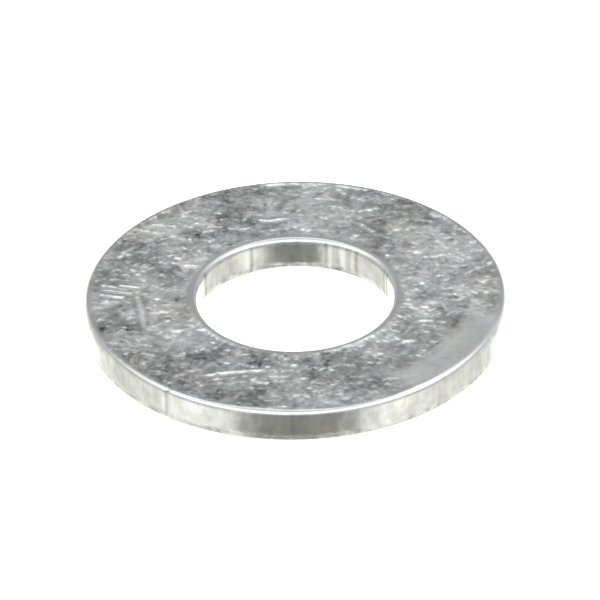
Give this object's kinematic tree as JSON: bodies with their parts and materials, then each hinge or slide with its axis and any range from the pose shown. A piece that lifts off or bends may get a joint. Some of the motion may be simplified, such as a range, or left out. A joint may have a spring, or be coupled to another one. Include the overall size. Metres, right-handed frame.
{
  "type": "flat washer",
  "caption": "Flat round washer that spreads a bolt head's or nut's load over the part it clamps.",
  "frame": {"origin": "centre of the lower bearing face, on the bore's axis", "axes": "+Z along the bore, out of the upper face, which has the rolled edges; X and Y lie in the lower bearing face, and the ring looks the same all round"},
  "size_m": [0.018, 0.018, 0.0015],
  "materials": {
    "zinc_plated_steel": "bright barrel zinc plating, tumbled and finely dented all over"
  },
  "bodies": {
    "root": {"washer": "zinc_plated_steel"}
  },
  "joints": []
}
